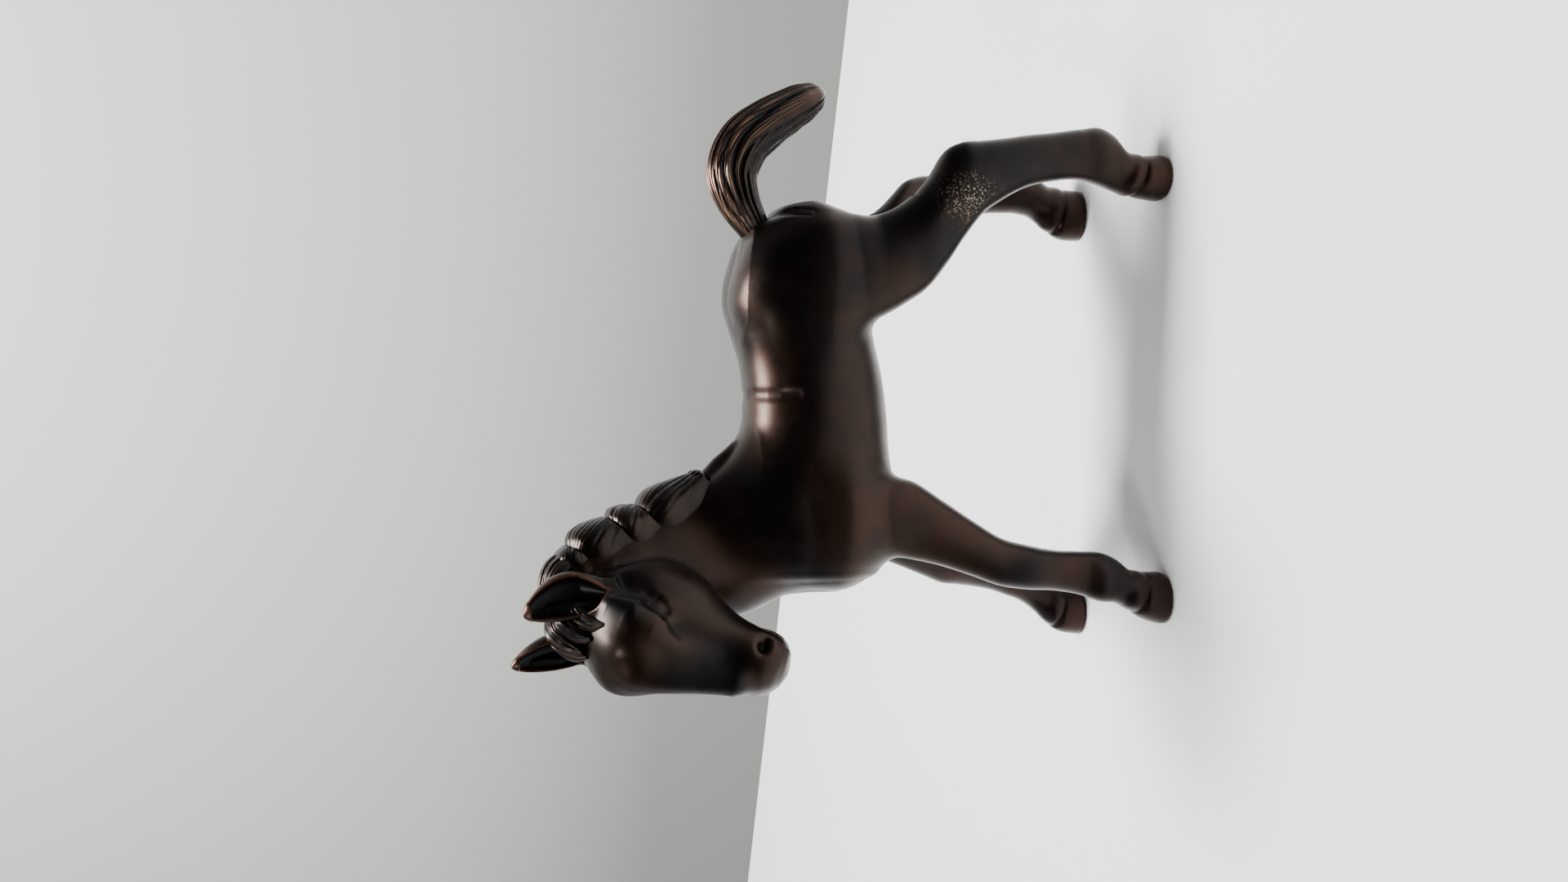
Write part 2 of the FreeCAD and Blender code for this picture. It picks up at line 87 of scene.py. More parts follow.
RIGHT_HINDLEG = [
    (0.0, 34.3, 44.9, 15.5, 4.4), (4.9, 34.9, 45.2, 15.5, 4.0), (8.1, 36.9, 45.8, 15.5, 3.5),
    (11.2, 38.8, 47.8, 15.4, 3.5), (14.2, 39.4, 48.3, 15.2, 3.5), (18.5, 39.3, 47.8, 14.8, 3.2),
    (23.5, 38.8, 47.1, 14.3, 3.2), (29.5, 37.7, 46.5, 13.8, 3.4), (35.1, 35.2, 45.8, 13.2, 3.7),
    (38.5, 32.3, 45.2, 12.8, 3.9), (41.5, 28.9, 43.8, 12.2, 4.1), (44.1, 25.1, 41.2, 11.3, 4.3),
    (46.7, 22.0, 38.6, 10.8, 4.7), (50.8, 18.4, 36.0, 9.8, 5.2), (55.9, 14.9, 33.6, 8.6, 5.8),
    (63.0, 12.0, 33.6, 7.4, 6.0), (69.0, 13.5, 32.0, 5.6, 4.9),
    (74.0, 18.5, 27.5, 3.4, 2.2), (75.5, 21.5, 24.5, 2.8, 0.6)]
# up the neck's own line, throat side, crest side, middle y, half width
NECK = [
    (-24.5, -3.0, 2.0, 0.0, 1.6), (-22.5, -7.5, 7.0, 0.0, 5.0), (-17.0, -9.6, 11.2, 0.0, 8.0),
    (-9.6, -12.3, 12.3, 0.0, 8.6), (0.0, -13.1, 12.6, -0.5, 7.9), (7.9, -9.0, 13.2, -1.6, 7.3),
    (14.6, -5.4, 13.6, -2.8, 6.9), (20.6, -1.3, 13.2, -4.0, 6.2),
    (24.7, 3.6, 11.6, -5.0, 4.2), (26.5, 6.5, 9.0, -5.3, 1.2)]
# down the head, reach to the brow side, reach to the jaw side, half width
HEAD = [
    (-12.3, 0.5, 2.0, 1.2), (-11.4, 2.6, 5.2, 4.0), (-9.6, 5.4, 7.9, 6.6), (-6.5, 8.4, 9.4, 8.6),
    (-2.5, 10.4, 10.0, 9.6),
    (2.5, 10.4, 10.3, 9.6), (7.5, 8.8, 10.0, 8.6), (12.5, 7.2, 8.2, 7.0), (17.0, 6.3, 5.8, 5.8),
    (20.5, 5.9, 4.4, 5.3), (23.2, 5.0, 3.8, 4.8), (25.2, 3.4, 2.9, 3.8), (26.4, 1.6, 1.6, 2.2), (26.8, 0.5, 0.5, 0.6)]
# x, y, z, half thickness, half width
TAIL = [
    (27.0, 0.0, 74.1, 2.2, 2.2), (30.0, 0.0, 75.9, 2.7, 2.5),
    (32.2, 0.0, 77.3, 3.2, 2.9), (36.6, 0.0, 79.7, 4.1, 3.5),
    (41.4, 0.0, 80.7, 4.7, 3.9),
    (46.5, 0.0, 78.7, 4.7, 4.1), (50.3, 0.0, 74.5, 4.4, 4.0), (53.3, 0.0, 70.0, 3.9, 3.6),
    (55.7, 0.0, 66.0, 3.1, 2.9),
    (57.0, 0.0, 63.7, 1.8, 1.7), (57.5, 0.0, 62.8, 0.5, 0.5)]
# down, brow, left, half thickness, half width
FORELOCK = [
    (-8.5, 0.5, 0.0, 1.2, 1.2), (-11.0, 1.8, 0.0, 2.2, 2.0), (-13.0, 3.8, 0.0, 2.3, 2.2), (-12.6, 5.8, 0.0, 2.0, 2.2),
    (-10.9, 7.2, 0.1, 1.6, 2.0), (-9.0, 8.2, 0.4, 1.1, 1.4), (-7.4, 8.9, 0.9, 0.3, 0.4)]
# how far each lock of the forelock is moved down, out and to the left
FORELOCK_LOCKS = [(0.9, -0.3, -2.7), (0.0, 0.3, -0.4), (0.8, -0.6, 1.9), (2.4, -1.6, 3.8)]
# x, y, z, half thickness, half width
POLL_LOCK = [
    (-37.5, -6.2, 110.0, 1.6, 2.2), (-35.6, -6.0, 113.0, 2.2, 3.2), (-33.0, -5.6, 114.4, 2.5, 3.8),
    (-30.4, -5.2, 113.4, 2.6, 4.0),
    (-28.8, -4.6, 110.6, 2.3, 3.6), (-28.2, -4.2, 107.6, 1.3, 2.6), (-28.4, -4.0, 106.0, 0.4, 1.0)]
MANE_TOP, MANE_END = 26.0, -6.0                   # up the neck's own line
MANE_LOCKS = (0.0, 0.09, 0.35, 0.53, 1.0)         # where each lock starts, as a share of the mane
MANE_LIFT = (1.7, 2.5, 2.2, 2.9)                  # how high each lock stands
SCUFF_AT, SCUFF_REACH = np.array([36.4, -16.0, 41.0]), np.array([3.2, 3.0, 4.2])   # chalky spot on the left hock


def dense(rows, count=500):
    """The rows with a smooth curve put through them, each column a cubic of the first one."""
    rows = np.array(rows, dtype=float)
    q = rows[:, 0]
    slope = np.gradient(rows, q, axis=0)
    s = np.linspace(q[0], q[-1], count)
    i = np.clip(np.searchsorted(q, s) - 1, 0, len(q) - 2)
    h = (q[i + 1] - q[i])[:, None]
    t = ((s - q[i]) / h[:, 0])[:, None]
    out = ((2 * t**3 - 3 * t**2 + 1) * rows[i] + (t**3 - 2 * t**2 + t) * h * slope[i]
           + (3 * t**2 - 2 * t**3) * rows[i + 1] + (t**3 - t**2) * h * slope[i + 1])
    return s, out


def along(rows):
    """A function that gives every column of the rows at any place along them."""
    s, out = dense(rows)
    return lambda q: [np.interp(q, s, out[:, c]).astype(np.float32) for c in range(1, out.shape[1])]


def rounded(q, low, high, u, v, ru, rv, power=ROUNDNESS):
    """How far outside a stretched round section a point is: (rho - 1) times the section's size."""
    rho = ((np.abs(u) / ru)**power + (np.abs(v) / rv)**power)**(1.0 / power)
    size = np.minimum(ru, rv)
    return np.maximum((rho - 1.0) * size, np.maximum(low - q, q - high))


def melt(a, b, soft):
    """Two solids as one, with a fillet that reaches about `soft` mm along both."""
    h = np.maximum(soft - np.abs(a - b), 0.0) / soft
    return np.minimum(a, b) - h * h * soft * 0.25


def carve(a, b, soft):
    """Solid a with solid b taken out, and a rounded edge left."""
    return -melt(-a, b, soft)


def blob(x, y, z, at, radii):
    """An ellipsoid: (rho - 1) times its smallest radius."""
    rho = np.sqrt(((x - at[0]) / radii[0])**2 + ((y - at[1]) / radii[1])**2 + ((z - at[2]) / radii[2])**2)
    return (rho - 1.0) * min(radii)


def strand(x, y, z, points, radii):
    """A rope of round section: the distance to a broken line, less a radius that changes along it."""
    best = None
    for a, b, ra, rb in zip(points, points[1:], radii, radii[1:]):
        ax, ay, az = a
        dx, dy, dz = b[0] - ax, b[1] - ay, b[2] - az
        t = np.clip(((x - ax) * dx + (y - ay) * dy + (z - az) * dz) / (dx * dx + dy * dy + dz * dz), 0.0, 1.0)
        d = np.sqrt((x - ax - t * dx)**2 + (y - ay - t * dy)**2 + (z - az - t * dz)**2) - (ra + (rb - ra) * t)
        best = d if best is None else np.minimum(best, d)
    return best


barrel_at, neck_at, head_at = along(BARREL), along(NECK), along(HEAD)
leg_at = {"left_foreleg": along(LEFT_FORELEG), "right_foreleg": along(RIGHT_FORELEG),
          "left_hindleg": along(LEFT_HINDLEG), "right_hindleg": along(RIGHT_HINDLEG)}
leg_top = {name: 72.4 if "fore" in name else 75.4 for name in leg_at}   # where each leg ends inside the body


def barrel(x, y, z):
    """Rounded sections along the body, each wider above or below its widest line as its rows say."""
    top, bottom, half, middle = barrel_at(x)
    v = z - middle
    rv = np.where(v > 0, top - middle, middle - bottom)
    return rounded(x, BARREL[0][0], BARREL[-1][0], y, v, half, rv)


def leg(name, x, y, z):
    """Rounded sections up the leg; a coronet swells above a groove round the hoof, both sloping down to the heel."""
    front, back, middle, half = leg_at[name](z)
    centre = (front + back) / 2
    slant = z + 0.22 * (x - centre)
    ring = (0.16 * np.exp(-((slant - 6.9) / 1.0)**2) - 0.20 * np.exp(-((slant - 5.3) / 0.5)**2)
            - 0.3 * np.exp(-(z / 0.6)**2))
    return rounded(z, 0.0, leg_top[name], x - centre, y - middle, (back - front) / 2 + ring, half + ring)


def neck(x, y, z):
    """Oval sections up a line that leans forward: q runs along the line, b from throat to crest."""
    dx, dz = x - NECK_AT[0], z - NECK_AT[2]
    q = dz * np.cos(NECK_LEAN) - dx * np.sin(NECK_LEAN)
    b = dx * np.cos(NECK_LEAN) + dz * np.sin(NECK_LEAN)
    throat, crest, middle, half = neck_at(q)
    return rounded(q, NECK[0][0], NECK[-1][0], b - (throat + crest) / 2, y - middle, (crest - throat) / 2, half, 2.0)


AHEAD = np.array([-np.cos(HEAD_TURN), -np.sin(HEAD_TURN), 0.0])
LEFTWARD = np.array([np.sin(HEAD_TURN), -np.cos(HEAD_TURN), 0.0])
DOWN = AHEAD * np.cos(HEAD_DIP) + np.array([0, 0, -np.sin(HEAD_DIP)])
BROW = AHEAD * np.sin(HEAD_DIP) + np.array([0, 0, np.cos(HEAD_DIP)])


def head_coords(x, y, z):
    """Distances down the head, out of the brow and to the foal's left, from the middle of the head."""
    d = (x - HEAD_AT[0], y - HEAD_AT[1], z - HEAD_AT[2])
    return [sum(c * k for c, k in zip(d, axis)) for axis in (DOWN, BROW, LEFTWARD)]


def head_point(down, brow, left):
    """The place of a point given down the nose, out from the brow and to the left."""
    return HEAD_AT + DOWN * down + BROW * brow + LEFTWARD * left


def head(x, y, z):
    """Rounded sections down the skull, with ridges and cheeks melted on and the creases carved. Both sides are
    alike but for the muscle at the root of the right ear."""
    s, n, l = head_coords(x, y, z)
    n = n + faded(s, 6.0, 20.0, 0.0, 1.1)
    brow, jaw, half = head_at(s)
    brow = brow + faded(s, -8.0, -2.0, 0.0, 0.9)
    boxy = 2.1 + 0.8 * np.exp(-((s + 0.5) / 4.5)**2)
    skull = rounded(s, HEAD[0][0], HEAD[-1][0], l, n, half, np.where(n > 0, brow, jaw), boxy)
    a = np.abs(l)
    skull = melt(skull, strand(s, n, a, [(2.0, 9.1, 0), (9.0, 8.1, 0), (18.0, 6.3, 0)], [2.4, 2.1, 2.0]), 3.0)
    skull = melt(skull, blob(s, n, a, (2.5, -5.0, 5.2), (8.5, 6.0, 4.2)), 2.5)
    skull = melt(skull, strand(s, n, a, [(-4.6, 3.8, 8.2), (-1.2, 5.0, 8.9), (2.2, 5.0, 8.2), (6.0, 5.0, 6.2)],
                               [1.5, 1.9, 1.4, 0.8]), 3.0)
    skull = carve(skull, blob(s, n, a, (12.4, 4.2, 7.6), (5.4, 1.7, 1.4)), 2.5)
    skull = carve(skull, blob(s, n, a, (-6.4, 0.2, 10.8), (3.4, 1.7, 1.4)), 2.4)
    skull = carve(skull, strand(s, n, a, [(0.2, 1.0, 10.6), (2.0, 2.0, 10.9), (3.8, 3.0, 10.0)],
                                [0.9, 1.7, 0.9]), 1.2)
    skull = melt(skull, blob(s, n, a, (2.0, 2.0, 8.2), (1.9, 1.2, 1.3)), 0.5)
    skull = carve(skull, strand(s, n, a, [(-7.5, -4.5, 9.2), (-6.2, -6.0, 8.2), (-1.2, -9.4, 7.5),
                                (3.5, -11.0, 6.2), (7.7, -11.8, 4.4),
                                          (11.2, -12.2, 2.0)], [0.5, 0.9, 1.0, 1.0, 0.9, 0.5]), 1.4)
    # the muscle over the right ear's pin
    ear_root = strand(s, n, l, [(-10.3, -2.0, -8.0), (-6.0, -7.2, -7.2)], [1.6, 1.6])
    skull = melt(skull, ear_root, 3.5)
    skull = melt(skull, blob(s, n, a, (22.8, -2.4, 0.0), (2.8, 2.6, 3.4)), 2.0)
    skull = melt(skull, blob(s, n, a, (20.7, 1.2, 4.0), (3.2, 2.2, 1.4)), 3.0)
    skull = carve(skull, nostril(s, n, a), 1.5)
    lips = strand(s, n, a, [(26.9, -0.9, 0.0), (25.2, -1.6, 3.2), (22.6, -2.4, 4.6), (19.6, -3.2, 5.2)],
                  [0.3, 0.3, 0.28, 0.2])
    return carve(skull, lips, 0.6)


def nostril(s, n, a):
    """An ellipsoid sunk in each side of the muzzle."""
    return blob(s, n, a, (21.3, 1.5, 5.6), (0.75, 1.0, 1.2))


# bottom of the hollow, tip, way that the hollow faces, sideways bow; all in head coordinates
EARS = {"left_ear": ((-6.6, 1.4, 7.2), (-18.4, 8.2, 4.0), (0.05, 0.70, 0.70), 1.3),
        "right_ear": ((-7.4, 2.2, -6.6), (-18.6, 10.0, -8.0), (0.10, 0.90, 0.35), 0.8)}
# share of the length, half width, depth behind
EAR = along([(-0.15, 2.2, 1.6), (0.0, 3.0, 2.1), (0.2, 3.8, 2.6), (0.44, 4.1, 2.8),
             (0.68, 3.4, 2.3), (0.87, 2.1, 1.4), (0.97, 1.0, 0.7), (1.0, 0.4, 0.4)])


def ear(name, x, y, z):
    """A leaf with rounded sections, and inside it the smaller leaf that hollows it out from in front."""
    root, tip, facing, bow = EARS[name]
    root, tip = np.array(root), np.array(tip)
    length = np.linalg.norm(tip - root)
    up = (tip - root) / length
    out = np.array(facing) - up * np.dot(facing, up)
    out /= np.linalg.norm(out)
    side = np.cross(out, up)
    s, n, l = head_coords(x, y, z)
    d = (s - root[0], n - root[1], l - root[2])
    q, u, v = [sum(c * k for c, k in zip(d, axis)) for axis in (up, side, out)]
    t = q / length
    u = u - bow * np.sin(np.pi * np.clip(t, 0, 1))
    half, deep = EAR(t)
    if name == "right_ear":
        half = half * 0.82
    leaf = rounded(q, -0.15 * length, length, u, v, half, deep, 2.0)
    taper = np.clip((t + 0.14) / 0.42, 0.04, 1.0)**0.75
    hollow = rounded(q, -0.13 * length, 0.9 * length, u, v - 0.55 * deep - 0.3,
                     (0.80 * half - 0.1) * taper, 0.95 * deep * taper, 2.0)
    hair = strand(q, u, v, [(1.5, -1.6, -0.6), (5.5, -1.7, -0.2), (9.5, -0.9, -0.1)], [0.7, 0.8, 0.3])
    hollow = carve(hollow, hair, 0.8)
    return leaf, hollow


def ears_on(out, x, y, z, names=tuple(EARS)):
    """The ears melted onto a solid and then hollowed, the hollows running down into it."""
    for name in names:
        out = melt(out, ear(name, x, y, z)[0], 1.6)
    for name in names:
        out = carve(out, ear(name, x, y, z)[1], 0.45)
    return out


def faded(z, low, high, soft_low, soft_high):
    """A reach that grows smoothly from one height to another."""
    t = np.clip((z - low) / (high - low), 0.0, 1.0)
    return soft_low + (soft_high - soft_low) * t * t * (3 - 2 * t)


def flesh(x, y, z, near):
    """The whole foal but its hair, as one blended solid. near names the parts to reckon with."""
    out = None
    if "barrel" in near:
        a = np.abs(y)
        out = melt(barrel(x, y, z), blob(x, y, z, (-27.0, 0.0, 62.0), (9.0, 9.2, 8.6)), 2.6)
        out = melt(out, blob(x, y, z, (25.6, 0.0, 68.0), (8.4, 8.6, 9.4)), 3.5)
        out = melt(out, blob(x, a, z, (-23.5, 7.4, 63.0), (8.0, 4.4, 10.5)), 6.0)
        out = melt(out, blob(x, a, z, (21.0, 6.0, 68.5), (8.5, 5.4, 9.0)), 6.0)
        out = melt(out, strand(x, a, z, [(12.5, 0.0, 55.6), (17.5, 0.0, 55.9)], [1.5, 1.1]), 1.4)
    if "neck" in near:
        out = neck(x, y, z) if out is None else melt(out, neck(x, y, z), 7.0)
    for name in leg_at:
        if name in near:
            part = leg(name, x, y, z)
            reach = faded(z, 54.0, 63.0, 1.5, 6.0) if "fore" in name else faded(z, 57.5, 66.0, 2.2, 6.0)
            out = part if out is None else melt(out, part, reach)
    if "barrel" in near:
        wrinkle = [(0.4, 2.5, 79.0), (0.3, 4.6, 78.3), (0.2, 7.2, 76.8), (0.2, 9.4, 74.5), (0.4, 10.8, 71.8)]
        rump_crease = [(33.0, 2.4, 76.0), (33.9, 4.6, 73.9), (33.6, 7.0, 71.6), (32.8, 8.8, 68.6)]
        withers = [(-15.0, 0.0, 85.6), (-12.2, 0.0, 83.4), (-9.4, 0.0, 80.4)]
        out = carve(out, strand(x, a, z, wrinkle, [0.1, 0.22, 0.27, 0.22, 0.1]), 1.8)
        out = carve(out, strand(x, a, z, rump_crease, [0.6, 0.6, 0.45, 0.15]), 1.6)
        out = melt(out, strand(x, a, z, withers, [1.5, 1.3, 0.8]), 1.6)
    if "head" in near:
        out = head(x, y, z) if out is None else melt(out, head(x, y, z), 1.2)
    return out


# ---- from solid to mesh ----
def net(solid, low, high, step):
    """The skin of a solid as a net: one point in each cell that the skin passes through, joined into
    four-sided faces across each grid edge that it crosses. The points are then drawn onto the skin."""
    axes = [np.arange(a, b + step, step, dtype=np.float32) for a, b in zip(low, high)]
    x, y, z = axes[0][:, None, None], axes[1][None, :, None], axes[2][None, None, :]
    f = solid(x, y, z).astype(np.float32)
    inside = f < 0
    n = np.array(f.shape) - 1
    count = np.zeros(n, np.int8)
    for i in (0, 1):
        for j in (0, 1):
            for k in (0, 1):
                count += inside[i:n[0] + i, j:n[1] + j, k:n[2] + k]
    active = (count > 0) & (count < 8)
    index = np.full(n, -1, np.int64)
    index[active] = np.arange(active.sum())
    cells = np.argwhere(active)
    total, hits = np.zeros((len(cells), 3)), np.zeros(len(cells))
    for axis in range(3):
        others = [a for a in range(3) if a != axis]
        for i in (0, 1):
            for j in (0, 1):
                a = cells.copy()
                a[:, others[0]] += i
                a[:, others[1]] += j
                b = a.copy()
                b[:, axis] += 1
                fa, fb = f[tuple(a.T)], f[tuple(b.T)]
                crossing = (fa < 0) != (fb < 0)
                t = np.where(crossing, fa / np.where(crossing, fa - fb, 1.0), 0.0)
                spot = a.astype(float)
                spot[:, axis] += t
                total += spot * crossing[:, None]
                hits += crossing
    points = total / hits[:, None] * step + np.array([a[0] for a in axes])
    faces = []
    for axis in range(3):
        o1, o2 = (axis + 1) % 3, (axis + 2) % 3
        lo = [slice(None)] * 3
        hi = [slice(None)] * 3
        lo[axis], hi[axis] = slice(0, -1), slice(1, None)
        change = inside[tuple(lo)] != inside[tuple(hi)]
        e = np.argwhere(change)
        e = e[(e[:, o1] > 0) & (e[:, o2] > 0) & (e[:, o1] < n[o1]) & (e[:, o2] < n[o2])]
        first_in = inside[tuple(e.T)]
        ring = []
        for d1, d2 in ((1, 1), (0, 1), (0, 0), (1, 0)):
            c = e.copy()
            c[:, o1] -= d1
            c[:, o2] -= d2
            ring.append(index[tuple(c.T)])
        quad = np.stack(ring, 1)
        quad[~first_in] = quad[~first_in][:, ::-1]
        faces.append(quad)
    faces = np.concatenate(faces)
    points = settle(solid, points, step)
    return points, faces


def slope_of(solid, p, h):
    """The solid's value at each point, and its slope by differences h apart."""
    f = [solid(*(p + d).T) for d in np.vstack([np.zeros(3), np.eye(3) * h, -np.eye(3) * h])]
    g = np.stack([(f[1 + a] - f[4 + a]) / (2 * h) for a in range(3)], 1)
    return f[0], g, (sum(f[1:]) - 6 * f[0]) / (h * h)


def settle(solid, p, step):
    """Points drawn onto a solid's skin: two steps of value over slope, each at most a third of a cell."""
    for _ in range(2):
        f, g, _ = slope_of(solid, p, 0.05)
        size = np.maximum((g * g).sum(1), 0.05)
        move = -(f / size)[:, None] * g
        length = np.linalg.norm(move, axis=1)
        move *= np.minimum(1.0, 0.35 * step / np.maximum(length, 1e-9))[:, None]
        p = p + move
    return p


def make_piece(name, points, faces, material, node, attributes, normals=None):
    """Puts points in millimetres and their faces into a mesh in metres, riding on the fixed body."""
    mesh = bpy.data.meshes.new(name)
    mesh.from_pydata(((points + MIDDLE) * MM).tolist(), [], faces if isinstance(faces, list) else faces.tolist())
    for label, values in attributes.items():
        layer = mesh.attributes.new(label, "FLOAT", "POINT")
        layer.data.foreach_set("value", np.asarray(values, np.float32))
    mesh.polygons.foreach_set("use_smooth", np.ones(len(mesh.polygons), bool))
    if normals is not None:
        mesh.normals_split_custom_set_from_vertices(normals.tolist())
    mesh.materials.append(material)
    piece = bpy.data.objects.new(name, mesh)
    bpy.context.scene.collection.objects.link(piece)
    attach(piece, "root")
    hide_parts(node)


def cast_piece(name, solid, skin, low, high, step, painted_shade=None):
    """A net over the cut solid. Shading and wear come from the uncut skin, so that a seam stays as quiet as
    chasing leaves it: edges are rubbed where the skin bends out, and painted shade darkens where it bends in."""
    points, faces = net(solid, low, high, step)
    f, g, _ = slope_of(skin, points, 0.15)
    on_skin = np.abs(f) < 0.12
    _, g_cut, _ = slope_of(solid, points, 0.1)
    normals = np.where(on_skin[:, None], g, g_cut)
    normals /= np.maximum(np.linalg.norm(normals, axis=1), 1e-6)[:, None]
    _, g_wide, bend = slope_of(skin, points, 0.6)
    bend = bend / np.maximum(np.linalg.norm(g_wide, axis=1), 0.3)
    worn = np.clip((bend - 1.1) / 1.6, 0, 1) * on_skin
    # painted shade: hollow darkens the colour where the skin bends in
    hollow = np.clip((-bend - 0.15) / 1.1, 0, 1) * on_skin
    # painted shade from the given function, deep in the nostrils and the ears' hollows
    if painted_shade is not None:
        hollow = np.maximum(hollow, painted_shade(*points.T))
        worn = 0.6 * worn * (1 - hollow)
        s, n, l = head_coords(*points.T)
        worn = worn * (1 - np.exp(-((s - 2.2)**2 + (n - 2.0)**2) / 9.0) * (np.abs(l) > 6))
    far = (points - SCUFF_AT) / SCUFF_REACH
    scuffed = np.exp(-(far**2).sum(1))
    make_piece(name + "_cast", points, faces, body_bronze, name,
               {"worn": worn, "hollow": hollow, "scuffed": scuffed}, normals)


def tube_faces(rings, around):
    """Four-sided faces over a grid of rings, and a fan of triangles at each end's pole."""
    i, j = np.arange(rings - 1)[:, None], np.arange(around)[None]
    k = (j + 1) % around
    corners = (i * around + j, i * around + k, (i + 1) * around + k, (i + 1) * around + j)
    quads = np.stack(np.broadcast_arrays(*corners), -1).reshape(-1, 4)
    j = np.arange(around)
    k = (j + 1) % around
    first, last = rings * around, rings * around + 1
    start = np.stack([np.full(around, first), k, j], 1)
    base = (rings - 1) * around
    end = np.stack([np.full(around, last), base + j, base + k], 1)
    return quads.tolist() + start.tolist() + end.tolist()


# ---- finishes ----
def node_of(tree, kind, **settings):
    """A new shader node with its settings."""
    node = tree.nodes.new(kind)
    for key, value in settings.items():
        setattr(node, key, value)
    return node


def bronze(name, patina, rubbed, rub=1.0, roughness=0.32):
    """Dark brown patina over bronze, waxed: red-brown clouds, rubbed ridges, painted shade in hollows, fine tool
    marks.
    """
    material = bpy.data.materials.new(name)
    material.use_nodes = True
    tree = material.node_tree
    shader = tree.nodes["Principled BSDF"]
    link = tree.links.new
    coords = node_of(tree, "ShaderNodeTexCoord")
    clouds = node_of(tree, "ShaderNodeTexNoise")
    clouds.inputs["Scale"].default_value = 62.0
    clouds.inputs["Detail"].default_value = 2.5
    link(coords.outputs["Object"], clouds.inputs["Vector"])
    tint = node_of(tree, "ShaderNodeValToRGB")
    stops = tint.color_ramp.elements
    stops[0].position, stops[0].color = 0.36, (*patina[0], 1)
    stops[1].position, stops[1].color = 0.66, (*patina[1], 1)
    link(clouds.outputs["Fac"], tint.inputs["Fac"])
    worn = node_of(tree, "ShaderNodeAttribute", attribute_name="worn")
    hollow = node_of(tree, "ShaderNodeAttribute", attribute_name="hollow")
    patches = node_of(tree, "ShaderNodeTexNoise")
    patches.inputs["Scale"].default_value = 320.0
    patches.inputs["Detail"].default_value = 5.0
    link(coords.outputs["Object"], patches.inputs["Vector"])
    rubbing = node_of(tree, "ShaderNodeMath", operation="MULTIPLY")
    link(worn.outputs["Fac"], rubbing.inputs[0])
    link(patches.outputs["Fac"], rubbing.inputs[1])
    amount = node_of(tree, "ShaderNodeMath", operation="MULTIPLY", use_clamp=True)
    link(rubbing.outputs[0], amount.inputs[0])
    amount.inputs[1].default_value = 1.7 * rub
    # rubbed ridges made lighter; on the hair this also carries the painted highlight along the top of each lock
    with_rub = node_of(tree, "ShaderNodeMix", data_type="RGBA")
    link(amount.outputs[0], with_rub.inputs["Factor"])
    height = node_of(tree, "ShaderNodeSeparateXYZ")
    link(coords.outputs["Object"], height.inputs[0])
    hoof = node_of(tree, "ShaderNodeMapRange")
    hoof.inputs["From Min"].default_value, hoof.inputs["From Max"].default_value = 0.0095, 0.003
    hoof.inputs["To Max"].default_value = 0.6
    link(height.outputs["Z"], hoof.inputs["Value"])
    redder = node_of(tree, "ShaderNodeMix", data_type="RGBA")
    link(hoof.outputs["Result"], redder.inputs["Factor"])
    link(tint.outputs["Color"], redder.inputs["A"])
    redder.inputs["B"].default_value = (0.026, 0.0092, 0.0058, 1)
    link(redder.outputs["Result"], with_rub.inputs["A"])
    with_rub.inputs["B"].default_value = (*rubbed, 1)
    # painted shade: the hollow attribute mixes the colour towards near black in creases, ear hollows and nostrils
    painted_shade = node_of(tree, "ShaderNodeMix", data_type="RGBA")
    link(hollow.outputs["Fac"], painted_shade.inputs["Factor"])
    link(with_rub.outputs["Result"], painted_shade.inputs["A"])
    painted_shade.inputs["B"].default_value = (0.004, 0.003, 0.003, 1)
    scuffed = node_of(tree, "ShaderNodeAttribute", attribute_name="scuffed")
    grit = node_of(tree, "ShaderNodeTexNoise")
    grit.inputs["Scale"].default_value = 2600.0
    grit.inputs["Detail"].default_value = 3.0
    link(coords.outputs["Object"], grit.inputs["Vector"])
    specks = node_of(tree, "ShaderNodeMapRange")
    specks.inputs["From Min"].default_value, specks.inputs["From Max"].default_value = 0.54, 0.64
    link(grit.outputs["Fac"], specks.inputs["Value"])
    speckled = node_of(tree, "ShaderNodeMath", operation="MULTIPLY", use_clamp=True)
    link(specks.outputs["Result"], speckled.inputs[0])
    link(scuffed.outputs["Fac"], speckled.inputs[1])
    chalky = node_of(tree, "ShaderNodeMix", data_type="RGBA")
    link(speckled.outputs[0], chalky.inputs["Factor"])
    link(painted_shade.outputs["Result"], chalky.inputs["A"])
    chalky.inputs["B"].default_value = (0.26, 0.22, 0.17, 1)
    link(chalky.outputs["Result"], shader.inputs["Base Color"])
    gloss = node_of(tree, "ShaderNodeMapRange")
    gloss.inputs["From Min"].default_value, gloss.inputs["From Max"].default_value = 0.3, 0.7
    gloss.inputs["To Min"].default_value, gloss.inputs["To Max"].default_value = roughness - 0.05, roughness + 0.07
    link(patches.outputs["Fac"], gloss.inputs["Value"])
    duller = node_of(tree, "ShaderNodeMath", operation="ADD", use_clamp=True)
    pitted = node_of(tree, "ShaderNodeMath", operation="MULTIPLY")
    link(hollow.outputs["Fac"], pitted.inputs[0])
    pitted.inputs[1].default_value = 0.3
    link(gloss.outputs["Result"], duller.inputs[0])
    link(pitted.outputs[0], duller.inputs[1])
    link(duller.outputs[0], shader.inputs["Roughness"])
    marks = node_of(tree, "ShaderNodeTexNoise")
    marks.inputs["Scale"].default_value = 900.0
    marks.inputs["Detail"].default_value = 3.0
    link(coords.outputs["Object"], marks.inputs["Vector"])
    waves = node_of(tree, "ShaderNodeMix", data_type="FLOAT")
    waves.inputs["Factor"].default_value = 0.25
    link(patches.outputs["Fac"], waves.inputs["A"])
    link(marks.outputs["Fac"], waves.inputs["B"])
    bump = node_of(tree, "ShaderNodeBump")
    bump.inputs["Strength"].default_value = 0.25
    bump.inputs["Distance"].default_value = 0.00025
    link(waves.outputs["Result"], bump.inputs["Height"])
    link(bump.outputs["Normal"], shader.inputs["Normal"])
    shader.inputs["Metallic"].default_value = 0.95
    shader.inputs["Coat Weight"].default_value = 0.18
    shader.inputs["Coat Roughness"].default_value = 0.30
    return material


